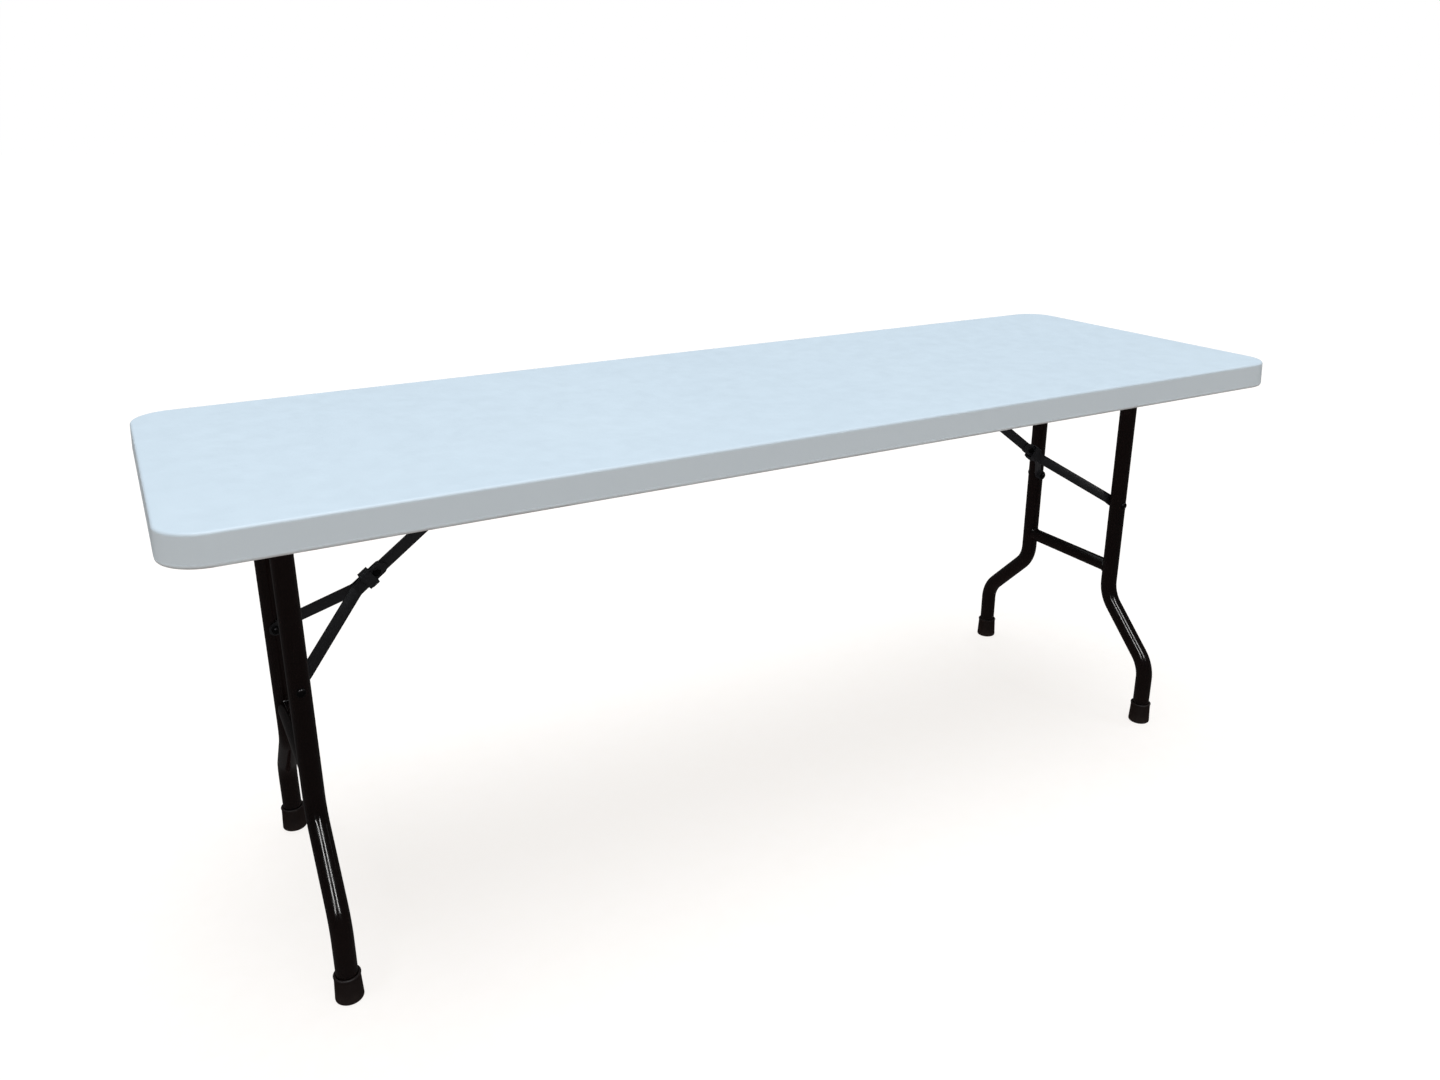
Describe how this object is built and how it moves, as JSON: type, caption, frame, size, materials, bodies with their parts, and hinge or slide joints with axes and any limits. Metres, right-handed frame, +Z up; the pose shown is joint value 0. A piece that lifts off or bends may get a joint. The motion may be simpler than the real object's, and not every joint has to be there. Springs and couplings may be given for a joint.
{
  "type": "folding table",
  "caption": "Rectangular folding table: white moulded plastic top on black tubular wishbone leg frames that fold inwards, held by Y-shaped braces with lock rings.",
  "frame": {"origin": "on the floor under the middle of the tabletop", "axes": "+X along the table to the right, +Y across the table to the back, +Z up"},
  "size_m": [1.829, 0.61, 0.726],
  "materials": {
    "white_plastic": "satin, fine moulded grain",
    "black_tube": "semi-gloss black powder coat",
    "black_strap": "satin black powder coat",
    "dark_rubber": "satin brown-black rubber",
    "black_plate": "black plated",
    "grey_steel": "dark phosphated steel"
  },
  "bodies": {
    "top": {"link_bracket_left": "black_strap", "link_bracket_right": "black_strap", "link_pin_left": "grey_steel", "link_pin_right": "grey_steel", "pivot_bracket_left_far": "black_strap", "pivot_bracket_left_near": "black_strap", "pivot_bracket_right_far": "black_strap", "pivot_bracket_right_near": "black_strap", "screw_link_bracket_left_inner": "grey_steel", "screw_link_bracket_left_outer": "grey_steel", "screw_link_bracket_right_inner": "grey_steel", "screw_link_bracket_right_outer": "grey_steel", "screw_pivot_bracket_left_far": "grey_steel", "screw_pivot_bracket_left_near": "grey_steel", "screw_pivot_bracket_right_far": "grey_steel", "screw_pivot_bracket_right_near": "grey_steel", "screw_rail_far_1": "grey_steel", "screw_rail_far_2": "grey_steel", "screw_rail_far_3": "grey_steel", "screw_rail_far_4": "grey_steel", "screw_rail_near_1": "grey_steel", "screw_rail_near_2": "grey_steel", "screw_rail_near_3": "grey_steel", "screw_rail_near_4": "grey_steel", "side_rail_far": "black_strap", "side_rail_near": "black_strap", "tabletop": "white_plastic"},
    "right_leg_frame": {"crossbar_right": "black_tube", "foot_cap_right_far": "dark_rubber", "foot_cap_right_near": "dark_rubber", "leg_bolt_right_far": "black_plate", "leg_bolt_right_near": "black_plate", "leg_right_far": "black_tube", "leg_right_near": "black_tube", "pivot_tube_right": "black_tube"},
    "right_link": {"upper_link_right": "black_strap"},
    "right_arms": {"brace_arm_right_far": "black_strap", "brace_arm_right_near": "black_strap", "joint_rivet_right": "black_plate", "leg_nut_right_far": "black_plate", "leg_nut_right_near": "black_plate"},
    "right_ring": {"lock_ring_right": "black_strap"},
    "left_leg_frame": {"crossbar_left": "black_tube", "foot_cap_left_far": "dark_rubber", "foot_cap_left_near": "dark_rubber", "leg_bolt_left_far": "black_plate", "leg_bolt_left_near": "black_plate", "leg_left_far": "black_tube", "leg_left_near": "black_tube", "pivot_tube_left": "black_tube"},
    "left_link": {"upper_link_left": "black_strap"},
    "left_arms": {"brace_arm_left_far": "black_strap", "brace_arm_left_near": "black_strap", "joint_rivet_left": "black_plate", "leg_nut_left_far": "black_plate", "leg_nut_left_near": "black_plate"},
    "left_ring": {"lock_ring_left": "black_strap"}
  },
  "joints": [
    {"name": "right_leg_fold", "type": "hinge", "parent": "top", "child": "right_leg_frame", "pos_m": [0.768, 0, 0.678], "axis": [0, 1, 0], "range_deg": [0, 90]},
    {"name": "right_link_swing", "type": "hinge", "parent": "top", "child": "right_link", "pos_m": [0.42345, 0, 0.678], "axis": [0, 1, 0], "range_deg": [-36.7, 0]},
    {"name": "right_arms_fold", "type": "hinge", "parent": "right_link", "child": "right_arms", "pos_m": [0.63126, 0, 0.52359], "axis": [0, 1, 0], "range_deg": [0, 180]},
    {"name": "right_ring_slide", "type": "slide", "parent": "right_link", "child": "right_ring", "axis": [-0.8027, 0, 0.5964], "range_m": [0, 0.185]},
    {"name": "left_leg_fold", "type": "hinge", "parent": "top", "child": "left_leg_frame", "pos_m": [-0.768, 0, 0.678], "axis": [0, -1, 0], "range_deg": [0, 90]},
    {"name": "left_link_swing", "type": "hinge", "parent": "top", "child": "left_link", "pos_m": [-0.42345, 0, 0.678], "axis": [0, -1, 0], "range_deg": [-36.7, 0]},
    {"name": "left_arms_fold", "type": "hinge", "parent": "left_link", "child": "left_arms", "pos_m": [-0.63126, 0, 0.52359], "axis": [0, -1, 0], "range_deg": [0, 180]},
    {"name": "left_ring_slide", "type": "slide", "parent": "left_link", "child": "left_ring", "axis": [0.8027, 0, 0.5964], "range_m": [0, 0.185]}
  ],
  "couplings": [
    {"joint": "right_link_swing", "follows": "right_leg_fold", "ratio": -0.4068},
    {"joint": "right_arms_fold", "follows": "right_leg_fold", "ratio": 2},
    {"joint": "right_ring_slide", "follows": "right_leg_fold", "m_per_rad": 0.11777},
    {"joint": "left_link_swing", "follows": "left_leg_fold", "ratio": -0.4068},
    {"joint": "left_arms_fold", "follows": "left_leg_fold", "ratio": 2},
    {"joint": "left_ring_slide", "follows": "left_leg_fold", "m_per_rad": 0.11777}
  ]
}
